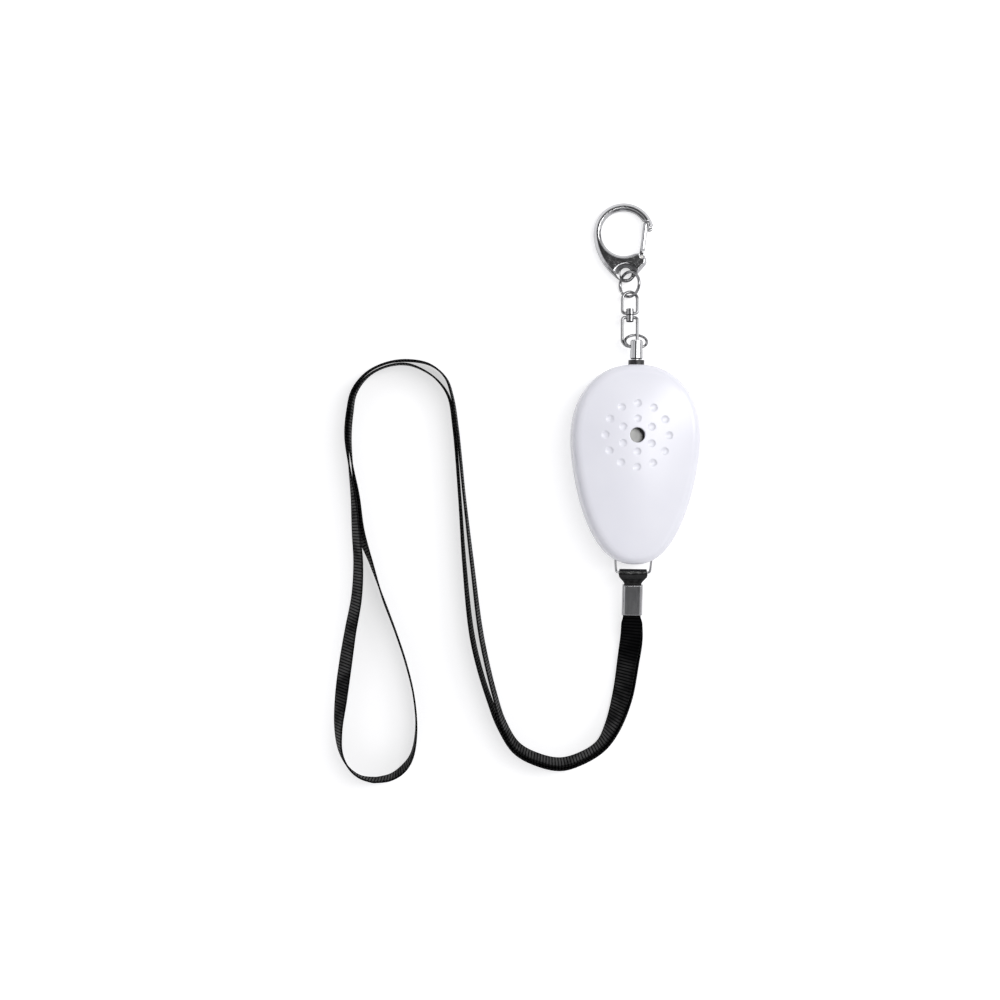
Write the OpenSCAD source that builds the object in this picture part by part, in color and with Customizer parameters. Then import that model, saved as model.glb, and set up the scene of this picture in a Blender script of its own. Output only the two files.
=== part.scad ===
// Personal safety alarm: an egg-shaped case with a pull-pin switch, a key-clip
// chain on the pin and a ribbon lanyard on a wire bail. Millimetres.
// X runs across the case, Y from the lanyard end to the pin end, Z up from the flat back.

/* [Case] */
// Width of the case at its widest line
case_w = 45; // [43:0.5:50]
// Length of the case from lanyard end to pin end
case_l = 70; // [68:0.5:76]
// Thickness of the case over the crown
case_t = 19; // [18.5:0.25:22]
// Distance from the pin end to the widest line
nose_l = 26; // [24:0.5:30]
// Wall thickness of both shells
wall = 1.8; // [1.5:0.1:2.1]
// Radius of the edge round the front face
edge_r = 4; // [3:0.25:4.5]
// Radius of the edge round the back
back_r = 3; // [2.5:0.25:3.5]
// Rise of the crowned front face
crown = 1.6; // [0.8:0.1:2]
// Height of the seam between the shells above the back
seam_z = 9.5; // [9.25:0.25:10.5]
// Depth of the groove along the seam
seam_groove = 0.3; // [0.1:0.05:0.5]
// Height of the lip that locates one shell in the other
lip_h = 1.2; // [0.8:0.1:1.6]

/* [Sound outlet] */
// Distance from the pin end to the middle of the sound hole
hole_from_nose = 25; // [23:0.5:27]
// Diameter of the sound hole
sound_hole_d = 5.2; // [3:0.1:7]
// Diameter of a dimple at the surface
dimple_d = 2.7; // [1.5:0.1:3.2]
// Depth of a dimple
dimple_depth = 0.5; // [0.3:0.05:0.8]
// Radius of the inner ring of dimples
inner_ring_r = 5.7; // [5:0.1:6.5]
// Radius of the outer ring of dimples
outer_ring_r = 11; // [10:0.1:12]
// Number of dimples in the inner ring
inner_count = 6; // [4:1:8]
// Number of dimples in the outer ring
outer_count = 12; // [8:1:16]
// Diameter of the sounder disc
sounder_d = 27; // [25:0.5:27]
// Thickness of the sounder disc
sounder_t = 0.4; // [0.2:0.1:0.6]
// Diameter of the ceramic on the sounder disc
ceramic_d = 19; // [15:0.5:21]
// Depth of the air space between the front wall and the sounder disc
chamber_h = 3.8; // [3:0.1:4.2]

/* [Pull pin] */
// Diameter of the pin's head
head_d = 4.2; // [3.8:0.1:4.8]
// Length of the pin's head
head_l = 6.7; // [6.2:0.1:7.5]
// Diameter of the pin's stem
stem_d = 2.5; // [2:0.1:3]
// Length of the pin's stem from head to tip
stem_l = 14.9; // [14:0.1:16]
// Diameter of the cross hole in the head
cross_hole_d = 2; // [1.9:0.1:2.2]
// Distance of the cross hole from the end of the head
cross_hole_in = 2.6; // [2.3:0.1:3]
// Clearance between the head and the socket's collar
head_gap = 0.4; // [0.2:0.1:0.8]
// Diameter of the socket's collar
collar_d = 5.6; // [5.2:0.1:6.5]
// Height of the collar above the end of the case
collar_h = 1.5; // [1:0.1:2]
// Diameter of the socket's barrel
barrel_d = 4.4; // [4:0.1:4.8]
// Radial clearance of the stem in the socket
stem_play = 0.08; // [0.03:0.01:0.1]

/* [Chain] */
// Outer diameter of the pin ring
pin_ring_d = 8.5; // [8.4:0.05:8.7]
// Wire diameter of the pin ring
pin_ring_wire = 0.9; // [0.8:0.05:0.95]
// Outer width of the swivel links
link_w = 6.4; // [6.2:0.05:6.6]
// Wire diameter of the swivel links
link_wire = 1.1; // [0.9:0.05:1.15]
// Length of the lower swivel link
lower_link_l = 11.5; // [11:0.1:12]
// Length of the upper swivel link
upper_link_l = 8.8; // [8.5:0.1:10]
// Thickness of the rivet's eyelet in the links
plate_t = 1.2; // [1:0.1:1.4]
// Diameter of the rivet's eyelet in the links
eyelet_d = 2.8; // [2.4:0.1:3.2]
// Diameter of the swivel rivet
rivet_d = 1.4; // [1.2:0.1:1.6]
// Diameter of the swivel rivet's two heads
rivet_head_d = 2.6; // [2.2:0.1:3]
// Running clearance of the swivel, radial and axial
swivel_play = 0.1; // [0.05:0.01:0.15]
// Outer diameter of the clip ring
clip_ring_d = 9.8; // [9.6:0.1:10.2]
// Wire diameter of the clip ring
clip_ring_wire = 1; // [0.8:0.05:1.1]

/* [Key clip] */
// Thickness of the clip
clip_t = 3; // [2.6:0.1:3.4]
// Inner radius of the hook
hook_in_r = 8.1; // [7.7:0.1:8.4]
// Width of the hook's band
hook_band = 2.6; // [2.3:0.1:3]
// Distance from the eye to the middle of the hook
hook_reach = 14.2; // [13.8:0.1:15]
// Mean radius of the eye
eye_r = 2.6; // [2.5:0.05:2.8]
// Wire diameter of the eye's rim
eye_wire = 1.2; // [1:0.05:1.3]
// Width of the gate
gate_w = 1.7; // [1.4:0.1:2]
// Diameter of the gate's pivot
pivot_d = 1; // [0.8:0.1:1.2]

/* [Lanyard] */
// Diameter of the bail's wire
bail_wire = 0.8; // [0.6:0.05:1]
// Distance the bail reaches past the end of the case
bail_reach = 2.9; // [2.6:0.1:3.4]
// Width of the ribbon
strap_w = 10; // [9:0.5:11]
// Thickness of the ribbon
strap_t = 0.7; // [0.5:0.05:0.8]
// Width of the crimp
crimp_w = 7.2; // [6.8:0.1:8]
// Length of the crimp
crimp_l = 10.7; // [9:0.1:12]
// Sheet thickness of the crimp
crimp_sheet = 0.5; // [0.3:0.05:0.6]

/* [Inside] */
// Diameter of a button cell
cell_d = 11.6; // [10:0.1:11.8]
// Thickness of a button cell
cell_t = 5.4; // [4:0.1:5.6]
// Number of button cells in the stack
cell_count = 3; // [2:1:3]
// Thickness of the circuit board
board_t = 1.2; // [1:0.1:1.6]
// Height of the board's posts above the inside of the back
board_post_h = 3.2; // [2.8:0.1:3.6]
// Width of the circuit board
board_w = 20; // [18:0.5:20]
// Diameter of a case screw's shank
screw_d = 2.2; // [1.8:0.1:2.4]
// Diameter of a case screw's head
screw_head_d = 4; // [3.6:0.1:4.2]

/* [Hidden] */
$fn = 48;
tiny = 0.01;

// Colours as the object shows them
white_abs = [0.92, 0.92, 0.95];
black_plastic = [0.06, 0.06, 0.06];
chrome = [0.75, 0.75, 0.76];
nickel = [0.6, 0.6, 0.6];
gunmetal = [0.36, 0.36, 0.37];
ribbon_black = [0.04, 0.04, 0.045];
brass = [0.75, 0.62, 0.35];
board_green = [0.1, 0.35, 0.2];

// Places along the case
nose_y = case_l / 2;
tail_y = -case_l / 2;
widest_y = nose_y - nose_l;
tail_l = case_l - nose_l;
face_c = [0, nose_y - hole_from_nose];
pin_z = seam_z;

// Egg outline: two superellipse halves that meet on the widest line
nose_bow = 2.2;
tail_bow_x = 2.35;
tail_bow_y = 1.6;
outline_n = 80;
function signed_pow(v, e) = sign(v) * pow(abs(v), e);
function egg_point(a) =
    sin(a) >= 0
    ? [case_w / 2 * signed_pow(cos(a), 2 / nose_bow), widest_y + nose_l * pow(sin(a), 2 / nose_bow)]
    : [case_w / 2 * signed_pow(cos(a), 2 / tail_bow_x), widest_y - tail_l * pow(-sin(a), 2 / tail_bow_y)];
function tail_edge_y(x) =
    widest_y - tail_l * pow(1 - pow(abs(x) / (case_w / 2), tail_bow_x), 1 / tail_bow_y);
function unit(v) = v / norm(v);
function egg_inward(a) =
    let (d = unit(egg_point(a + 1) - egg_point(a - 1)))
    [-d[1], d[0]];
function egg_ring(inset) = [
    for (i = [0 : outline_n - 1])
    let (a = 360 * i / outline_n)
    egg_point(a) + inset * egg_inward(a)
];

// A level is [inset from the outline, height, share of the way out from the face's middle]
function level_ring(level) = [
    for (p = egg_ring(level[0]))
    let (q = face_c + level[2] * (p - face_c))
    [q[0], q[1], level[1]]
];
// Closed skin through a list of levels, with a point at each end
module egg_skin(first_z, levels, last_z) {
    n = outline_n;
    m = len(levels);
    points = concat(
        [[face_c[0], face_c[1], first_z]],
        [for (level = levels) each level_ring(level)],
        [[face_c[0], face_c[1], last_z]]
    );
    fan = [for (i = [0 : n - 1]) [0, 1 + i, 1 + (i + 1) % n]];
    bands = [
        for (k = [0 : m - 2], i = [0 : n - 1])
        let (a = 1 + k * n + i, b = 1 + k * n + (i + 1) % n)
        each [[a, a + n, b], [b, a + n, b + n]]
    ];
    last = 1 + m * n;
    end_fan = [for (i = [0 : n - 1]) [last, 1 + (m - 1) * n + (i + 1) % n, 1 + (m - 1) * n + i]];
    polyhedron(points = points, faces = concat(fan, bands, end_fan), convexity = 8);
}

// Front shell profile
draft = 0.25;
fillet_end = 80;
lip = wall / 2;
lip_play = 0.1;
face_edge_z = case_t - crown;
side_top_z = face_edge_z - edge_r * sin(fillet_end);
inner_edge_r = edge_r - wall;
function fillet_level(inset, z, r, a) = [inset + r * (1 - cos(a)), z + r * sin(a), 1];
front_levels = concat(
    [[wall + draft + inner_edge_r * (1 - cos(fillet_end)), case_t - wall - crown * 0.36, 0.6]],
    [for (a = [fillet_end : -40 : 0]) fillet_level(wall + draft, side_top_z, inner_edge_r, a)],
    [
        [wall, seam_z + lip_h, 1],
        [lip, seam_z + lip_h, 1],
        [lip, seam_z, 1],
        [seam_groove, seam_z, 1],
        [0, seam_z + seam_groove, 1]
    ],
    [for (a = [0 : 20 : fillet_end]) fillet_level(draft, side_top_z, edge_r, a)],
    [for (f = [0.8, 0.6, 0.3]) [draft + edge_r * (1 - cos(fillet_end)), case_t - crown * f * f, f]]
);

// Rear shell profile; its bottom is cut flat at the back
back_spare = 0.6;
back_cut = 75;
inner_back_r = back_r - wall + 0.4;
function back_level(inset, z, r, a) = [inset + r * (1 - cos(a)), z - r * sin(a), 1];
rear_levels = concat(
    [[back_r * (1 - cos(back_cut)), -back_spare, 1]],
    [for (a = [back_cut : -25 : 0]) back_level(0, back_r, back_r, a)],
    [
        [0, seam_z - seam_groove, 1],
        [seam_groove, seam_z, 1],
        [lip + lip_play, seam_z, 1],
        [lip + lip_play, seam_z + lip_h - lip_play, 1],
        [wall, seam_z + lip_h - lip_play, 1]
    ],
    [for (a = [0 : 45 : 90]) back_level(wall, wall + inner_back_r, inner_back_r, a)]
);

// Case screws: two beside the sounder, one near the lanyard end
screw_from_side = 9;
screw_from_nose = 13;
screw_from_tail = 8;
screw_side_x = case_w / 2 - screw_from_side;
screw_places = [
    [screw_side_x, nose_y - screw_from_nose],
    [-screw_side_x, nose_y - screw_from_nose],
    [0, tail_y + screw_from_tail]
];
boss_wall = 1.35;
boss_d = screw_d + 2 * boss_wall;
screw_play = 0.05;
head_play = 0.2;
screw_seat_z = 4.2;
screw_head_t = 1.6;
screw_l = 9;
screw_spare = 0.5;
screw_bite = screw_seat_z + screw_l - seam_z + screw_spare;
post_wall = 0.8;
post_d = screw_head_d + 2 * (head_play + post_wall);

// Sounder, seated on a ring inside the front shell
sounder_top_z = case_t - wall - chamber_h;
seat_wall = 1.4;
seat_grip = 0.2;

// Button cells, stacked along X in a cradle half way between the tail screw and the sounder
cell_play = 0.2;
cradle_floor = 1;
cradle_wall = 1.2;
cell_z = wall + cradle_floor + cell_play + cell_d / 2;
stack_l = cell_t * cell_count;
cell_gap = 0.02;
cap_share = 0.25;
cap_step = 1;
contact_t = 0.4;
contact_bump = 0.5;
bump_d = 4;
contact_w = 8;
contact_h = 8.5;
slot_play = 0.05;
contact_in = stack_l / 2 + slot_play + contact_bump;
cradle_l = 2 * (contact_in + contact_t + slot_play + cradle_wall);
cradle_w = cell_d + 2 * (cell_play + cradle_wall);
cell_rise = sounder_top_z - sounder_t - cell_z;
cell_reach = sqrt(max(pow(cell_d / 2, 2) - pow(cell_rise, 2), 0));
cell_y_low = tail_y + screw_from_tail + post_d / 2 + cradle_w / 2;
cell_y_high = face_c[1] - sounder_d / 2 - cell_reach;
cell_y = (cell_y_low + cell_y_high) / 2;

// Board on two posts
board_z = wall + board_post_h;
board_top = board_z + board_t;
board_gap = 1.2;
board_y0 = cell_y + cradle_w / 2 + board_gap;
board_from_nose = 5;
board_y1 = nose_y - board_from_nose;
post_play = 0.4;
board_post_d = 4.4;
board_screw_d = 1.6;
board_screw_head_d = 3;
board_screw_head_t = 1;
board_screw_l = 3.6;
board_post_in = 3;
board_posts = [for (s = [-1, 1]) [s * (board_w / 2 - board_post_in), board_y0 + board_post_in]];

// Pin and socket, on the seam at the pin end
collar_seat = 0.3;
collar_face = nose_y + collar_h;
head_y = collar_face + head_gap;
barrel_end = nose_y - 4.5;
bush_play = 0.05;
cross_y = head_y + head_l - cross_hole_in;
hole_p = [0, cross_y, pin_z];

// Switch behind the socket: the stem holds the leaf off its contact
switch_l = 12;
switch_w = 9;
switch_top = pin_z + 2.4;
switch_y0 = barrel_end - switch_l;
switch_wall = 1.2;
leaf_t = 0.25;
leaf_h = 2.6;
leaf_x = stem_d / 2 + 0.1;
leaf_l = 8.5;
contact_x = leaf_x + leaf_t + 0.8;

// Pin ring: its wire runs through the cross hole and it hangs down from there
ring_tilt = 48;
ring_cut = 8;
pin_ring_r = (pin_ring_d - pin_ring_wire) / 2;
ring_sag = (pin_ring_r - sqrt(pow(pin_ring_r, 2) - pow(head_d / 2, 2))) / 2;
ring_dir = [0, cos(ring_tilt), -sin(ring_tilt)];
pin_ring_c = hole_p + ring_dir * (pin_ring_r - ring_sag);

// Swivel: the lower link lies across the pin ring and slopes down to the clip
link_depth = 0.48;
chain_x = -2.1;
chain_slope = 7;
chain_dir = [0, cos(chain_slope), -sin(chain_slope)];
link_p = [chain_x, 0, 0] + pin_ring_c + ring_dir * (pin_ring_r * link_depth);
link_overlap = 3.4;
link_half = (link_w - link_wire) / 2;
link_gap = 0.35;
link_corner = 0.9;
lower_face = lower_link_l - link_overlap;
upper_face = lower_face + link_gap;
upper_end = upper_face + upper_link_l;
rivet_head_t = 0.8;

// Clip ring, leaning on the table and through the upper link
clip_ring_r = (clip_ring_d - clip_ring_wire) / 2;
clip_ring_tilt = 45;
clip_ring_x = -2.3;
ring_play = 0.6;
table_gap = 0.03;
window_end = link_p + chain_dir * (upper_end - link_wire);
clip_ring_c = [
    clip_ring_x,
    window_end[1] - clip_ring_wire / 2 - ring_play + clip_ring_r,
    clip_ring_r * sin(clip_ring_tilt) + clip_ring_wire / 2 + table_gap
];

// Clip: its eye hangs on the clip ring and its hook rests on the table
clip_lift = 2.2;
hook_out_r = hook_in_r + hook_band;
hook_x = -0.9;
eye_z = clip_t / 2 + (hook_reach + hook_out_r) * sin(clip_lift) + table_gap;
ring_down = [-cos(clip_ring_tilt), 0, -sin(clip_ring_tilt)];
eye_share = (clip_ring_c[2] - eye_z) / (clip_ring_r * sin(clip_ring_tilt));
eye_cross = clip_ring_c + clip_ring_r * (eye_share * ring_down + sqrt(1 - pow(eye_share, 2)) * [0, 1, 0]);
eye_p = eye_cross + [-0.1, -0.1, 0];
eye_rim_r = eye_r + eye_wire / 2;
sink_c = [0, -1.4];
sink_r = 1.75;
sink_w = 3.05;
sink_depth = clip_t / 2 - eye_wire / 4;
clip_bevel = 0.9;
gate_lean = 6.5;
gate_p = [hook_x + hook_in_r - 1.75, hook_reach - hook_in_r - 0.4];
gate_l = hook_in_r + 4.7;
gate_blade_t = 1;
gate_foot = 2.2;
gate_play = 0.2;
knuckle_r = 1.3;
slot_t = 1.6;
blade_play = 0.1;

// Teardrop outline of the clip: the hook's circle, a long flank, the eye's rim, the cheek by the gate
hook_c = [hook_x, hook_reach];
tip_angle = 14;
tip_d = hook_band - 0.1;
tip_t = clip_t - 1;
flank_from = 185;
flank_to = 238;
cheek_r = 2.6;
cheek_c = gate_p + [-0.75, -1.3];
function arc(c, r, from, to, step) = [
    for (i = [0 : ceil((to - from) / step)])
    let (a = min(from + i * step, to))
    c + r * [cos(a), sin(a)]
];
flank_p = hook_c + hook_out_r * [cos(flank_from), sin(flank_from)];
flank_way = eye_rim_r * [cos(flank_to), sin(flank_to)] - flank_p;
flank_r = -(flank_way * flank_way) / (2 * (flank_way * [cos(flank_from), sin(flank_from)]));
flank_c = flank_p - flank_r * [cos(flank_from), sin(flank_from)];
clip_outline = concat(
    arc(hook_c, hook_out_r, tip_angle - 20, flank_from, 6),
    arc(flank_c, flank_r, flank_from + 5, flank_to - 3, 6),
    arc([0, 0], eye_rim_r, flank_to, 320, 12),
    arc(cheek_c, cheek_r, 330, 405, 15)
);

// Bail, trapped in the seam at the lanyard end, and the strap's end on it
strap_slope = 10;
bail_bend = 0.8;
bail_lean = 5;
bail_hook = 1.2;
bail_play = 0.3;
bar_l = strap_w + 0.4;
bail_root_y = tail_edge_y(strap_w / 2 + 4) + 1.4 * wall + 0.9 * bail_wire;
bar_y = tail_y - bail_reach;
bail_drop = (bail_root_y - bar_y) / cos(strap_slope);
bail_arm = (bail_drop - 2 * bail_bend * (1 - sin(bail_lean))) / cos(bail_lean);
bail_half = bar_l / 2 + 2 * bail_bend * cos(bail_lean) + bail_arm * sin(bail_lean);
arm_start = [bail_half - bail_bend * cos(bail_lean), -bail_bend * (1 - sin(bail_lean))];
bar_z = seam_z - bail_drop * sin(strap_slope);
fold_play = 0.15;
fold_in_r = bail_wire / 2 + fold_play;
fold_out_r = fold_in_r + strap_t;
fold_l = 4.5;
fold_grip = 4;
fold_wide = 1.6;
layer_gap = 0.1;
stack_half = strap_t + layer_gap / 2;
crimp_play = 0.1;
crimp_in_w = crimp_w - 2 * crimp_sheet;
crimp_in_t = 2 * (stack_half + crimp_play);
crimp_t = crimp_in_t + 2 * crimp_sheet;
crimp_roll = crimp_t * 0.44;
strap_dir = [0, -cos(strap_slope), -sin(strap_slope)];
crimp_end = [0, bar_y, bar_z] + strap_dir * (fold_l + crimp_l);

// Route of the doubled ribbon: x, y, z of its middle, the tilt of its width from level, and how far
// the two strands stand apart beyond the pair's gap
strap_pair_gap = 1.1;
shared_route = [
    [0, -61, 4.9, 30, 0.2], [-1, -69, 5.1, 52, 0.2], [-3, -82, 5.3, 60, 0.2], [-6.5, -93, 5.4, 73, 0.3],
    [-10.5, -99.5, 5.4, 83, 0.3], [-17.5, -104, 5.4, 84, 0.3], [-24.5, -106, 5.4, 82, 0.3],
    [-32.5, -104.5, 5.4, 82, 0.3], [-40, -100.5, 5.4, 82, 0.3], [-45.5, -92, 5.4, 82, 0.4],
    [-49, -82.5, 5.4, 84, 1.2], [-52.5, -70.5, 5.4, 84, 1.9], [-55, -59, 5.4, 84, 2.1],
    [-58, -35.5, 5.4, 86, 1.6], [-60.5, -12, 5.4, 88, 0.5], [-63, 11.5, 5.4, 88, 0],
    [-65, 23, 5.4, 88, 0.1], [-68, 29, 5.4, 88, 1.6], [-73, 33, 5.4, 88, 1.7], [-80.5, 35, 5.4, 88, 0.2],
    [-88, 34, 5.4, 86, 0], [-94.5, 30.5, 5.4, 86, 0], [-99, 24.5, 5.4, 88, 0], [-100.5, 17, 5.4, 90, 0],
    [-101, 8.5, 5.4, 90, 0], [-100, -1, 5.4, 85, 0], [-98.2, -12.5, 5.4, 77, 0.2], [-97, -24.5, 5.4, 71, 0.5]
];
outer_route = [
    [-96.8, -36, 5.3, 68], [-97.2, -48, 5.2, 66], [-99.2, -60, 5.1, 64], [-100.8, -71.5, 5, 61],
    [-102.2, -83.5, 5, 62], [-103, -95, 5.2, 71], [-102, -103, 5.4, 78], [-99, -108.5, 5.4, 81],
    [-95, -111.5, 5.4, 84], [-90, -112.5, 5.4, 90]
];
inner_route = [
    [-92.2, -36, 5.4, 80], [-88, -48, 5.4, 86], [-83.5, -59.5, 5.4, 86], [-79.5, -71, 5.4, 86],
    [-76.5, -83, 5.4, 86], [-75.5, -95, 5.4, 86], [-77, -104, 5.4, 84], [-80, -108.5, 5.4, 82],
    [-84.5, -111.5, 5.4, 86], [-89.8, -112.5, 5.4, 90]
];

// Ribbon frame at step i of a route: the width and normal directions
function step_dir(r, i) =
    let (a = r[max(i - 1, 0)], b = r[min(i + 1, len(r) - 1)])
    unit([b[0] - a[0], b[1] - a[1], b[2] - a[2]]);
function ribbon_frame(r, i) =
    let (
        t = step_dir(r, i),
        side = unit(cross([0, 0, 1], t)),
        up = cross(t, side),
        tilt = r[i][3]
    )
    [cos(tilt) * side + sin(tilt) * up, cos(tilt) * up - sin(tilt) * side];
// One strand's route: the shared stretch set off to one side, then its own half of the loop
function strand_route(side, own) = concat(
    [for (i = [0 : len(shared_route) - 1])
        let (
            p = shared_route[i],
            off = side * (strap_pair_gap + p[4]) / 2,
            q = [p[0], p[1], p[2]] + off * ribbon_frame(shared_route, i)[1]
        )
        [q[0], q[1], q[2], p[3]]
    ],
    own
);
function strand_start(side) =
    let (
        n = cross([1, 0, 0], strap_dir),
        q = crimp_end + strap_dir * 0.1 - side * (strap_t + layer_gap) / 2 * n
    )
    [q[0], q[1], q[2], 0];
ribbon_edge = 0.15;
function ribbon_section(w) =
    let (a = w / 2, b = strap_t / 2, e = ribbon_edge)
    [[a, b - e], [a - e, b], [e - a, b], [-a, b - e], [-a, e - b], [e - a, -b], [a - e, -b], [a, e - b]];
function gathered_w(i) = i == 0 ? crimp_in_w : i == 1 ? (crimp_in_w + strap_w) / 2 : strap_w;
module ribbon(route) {
    m = len(route);
    n = len(ribbon_section(strap_w));
    points = [
        for (i = [0 : m - 1])
        let (f = ribbon_frame(route, i), p = [route[i][0], route[i][1], route[i][2]])
        for (s = ribbon_section(gathered_w(i)))
        p + s[0] * f[0] + s[1] * f[1]
    ];
    bands = [
        for (k = [0 : m - 2], i = [0 : n - 1])
        let (a = k * n + i, b = k * n + (i + 1) % n)
        each i < n / 2 ? [[a, a + n, b], [b, a + n, b + n]] : [[a, a + n, b + n], [a, b + n, b]]
    ];
    caps = [
        for (i = [1 : n - 2])
        each [[0, i, i + 1], [(m - 1) * n, (m - 1) * n + i + 1, (m - 1) * n + i]]
    ];
    polyhedron(points = points, faces = concat(bands, caps), convexity = 10);
}

// Round wire laid flat from the origin along +X: [length, 0] runs straight,
// [radius, angle] turns left for a positive angle and right for a negative one
module bent_wire(steps, d, i = 0) {
    if (i < len(steps)) {
        size = steps[i][0];
        turn = steps[i][1];
        hand = turn < 0 ? -1 : 1;
        if (turn == 0) {
            rotate([0, 90, 0]) cylinder(d = d, h = size);
            translate([size, 0, 0]) bent_wire(steps, d, i + 1);
        } else {
            translate([0, hand * size, 0]) {
                rotate([0, 0, turn < 0 ? 90 + turn : -90])
                    rotate_extrude(angle = abs(turn)) translate([size, 0]) circle(d = d);
                rotate([0, 0, turn]) translate([0, -hand * size, 0]) bent_wire(steps, d, i + 1);
            }
        }
    }
}
// Jump ring with a small cut in its wire
module jump_ring(r, wire, cut_at) {
    rotate([0, 0, cut_at + ring_cut / 2])
        rotate_extrude(angle = 360 - ring_cut) translate([r, 0]) circle(d = wire);
}
// Cylinder along Y from one y to another
module rod_y(d, y0, y1) {
    translate([0, y0, 0]) rotate([-90, 0, 0]) cylinder(d = d, h = y1 - y0);
}

// Places of the sub-assemblies
module at_pin() { translate([0, 0, pin_z]) children(); }
module at_swivel() { translate(link_p) rotate([-chain_slope, 0, 0]) children(); }
module at_clip() { translate(eye_p) rotate([-clip_lift, 0, 0]) children(); }
module at_gate() { at_clip() translate([gate_p[0], gate_p[1], 0]) rotate([0, 0, -gate_lean]) children(); }
module at_bail() { translate([0, bail_root_y, seam_z]) rotate([strap_slope, 0, 0]) children(); }
module at_bar() { translate([0, bar_y, bar_z]) rotate([strap_slope, 0, 0]) children(); }

// Holes on the seam that both shells share
module seam_holes() {
    at_pin() {
        rod_y(barrel_d + 2 * bush_play, nose_y - wall * 3, nose_y + wall);
        rod_y(collar_d + 2 * bush_play, nose_y - collar_seat, nose_y + wall);
    }
    for (s = [-1, 1])
        at_bail() translate([s * arm_start[0], arm_start[1], 0]) rotate([0, 0, -s * bail_lean])
            rod_y(bail_wire + 2 * bail_play, -bail_drop, bail_bend);
}

// Drop of the crowned face below its middle at a place on it
function face_drop(p) =
    let (
        e = edge_r * (1 - cos(fillet_end)) + draft,
        rx = case_w / 2 - e,
        ry = p[1] > 0 ? hole_from_nose - e : case_l - hole_from_nose - e
    )
    crown * (pow(p[0] / rx, 2) + pow(p[1] / ry, 2));
dimple_r = (pow(dimple_d / 2, 2) + pow(dimple_depth, 2)) / (2 * dimple_depth);
module dimple_ring(r, count, start) {
    for (i = [0 : count - 1]) {
        a = start + 360 * i / count;
        p = r * [cos(a), sin(a)];
        translate([face_c[0] + p[0], face_c[1] + p[1], case_t - face_drop(p) + dimple_r - dimple_depth])
            sphere(r = dimple_r);
    }
}

module front_shell() {
    color(white_abs) difference() {
        union() {
            egg_skin(case_t - wall, front_levels, case_t);
            for (p = screw_places) translate([p[0], p[1], seam_z]) front_boss();
            translate([face_c[0], face_c[1], sounder_top_z]) difference() {
                cylinder(d = sounder_d, h = chamber_h + seat_grip);
                translate([0, 0, -tiny])
                    cylinder(d = sounder_d - 2 * seat_wall, h = chamber_h + seat_grip + 2 * tiny);
            }
        }
        translate([face_c[0], face_c[1], sounder_top_z - tiny])
            cylinder(d = sound_hole_d, h = case_t - sounder_top_z + 1);
        dimple_ring(inner_ring_r, inner_count, 90);
        dimple_ring(outer_ring_r, outer_count, 90);
        for (p = screw_places)
            translate([p[0], p[1], seam_z - tiny])
                cylinder(d = screw_d + 2 * screw_play, h = screw_bite + tiny);
        seam_holes();
    }
}
// Screw boss hanging from the front wall down to the seam
module front_boss() { cylinder(d = boss_d, h = case_t - crown - wall / 2 - seam_z); }

module rear_shell() {
    color(white_abs) difference() {
        union() {
            difference() {
                egg_skin(-back_spare, rear_levels, wall);
                translate([-case_w, -case_l, -2 * back_spare]) cube([2 * case_w, 2 * case_l, 2 * back_spare]);
            }
            for (p = screw_places)
                translate([p[0], p[1], wall / 2]) cylinder(d = post_d, h = seam_z - wall / 2);
            for (p = board_posts)
                translate([p[0], p[1], wall / 2]) cylinder(d = board_post_d, h = board_z - wall / 2);
        }
        for (p = screw_places) translate([p[0], p[1], -tiny]) {
            cylinder(d = screw_head_d + 2 * head_play, h = screw_seat_z + tiny);
            cylinder(d = screw_d + 2 * head_play, h = seam_z + 2 * tiny);
        }
        for (p = board_posts)
            translate([p[0], p[1], board_z - board_screw_l])
                cylinder(d = board_screw_d + 2 * screw_play, h = board_screw_l + tiny);
        seam_holes();
    }
}

module case_screws() {
    color(nickel) for (p = screw_places) translate([p[0], p[1], screw_seat_z]) difference() {
        union() {
            translate([0, 0, -screw_head_t]) cylinder(d = screw_head_d, h = screw_head_t);
            cylinder(d = screw_d, h = screw_l);
        }
        for (a = [0, 90]) rotate([0, 0, a])
            translate([-screw_head_d / 3, -0.35, -screw_head_t - tiny]) cube([screw_head_d / 1.5, 0.7, 0.9]);
    }
}

module sounder_disc() {
    color(nickel) translate([face_c[0], face_c[1], sounder_top_z - sounder_t])
        cylinder(d = sounder_d, h = sounder_t);
}
ceramic_t = 0.25;
module sounder_ceramic() {
    color("gainsboro") translate([face_c[0], face_c[1], sounder_top_z - sounder_t - ceramic_t])
        cylinder(d = ceramic_d, h = ceramic_t);
}

module circuit_board() {
    color(board_green) difference() {
        translate([-board_w / 2, board_y0, board_z]) cube([board_w, board_y1 - board_y0, board_t]);
        for (p = board_posts) translate([p[0], p[1], board_z - tiny])
            cylinder(d = board_screw_d + 2 * head_play, h = board_t + 2 * tiny);
        for (p = screw_places) translate([p[0], p[1], board_z - tiny])
            cylinder(d = post_d + 2 * post_play, h = board_t + 2 * tiny);
    }
}
module board_screws() {
    color(nickel) for (p = board_posts) translate([p[0], p[1], board_top]) {
        cylinder(d = board_screw_head_d, h = board_screw_head_t);
        translate([0, 0, -board_t - board_screw_l + screw_spare])
            cylinder(d = board_screw_d, h = board_t + board_screw_l - screw_spare);
    }
}

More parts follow.
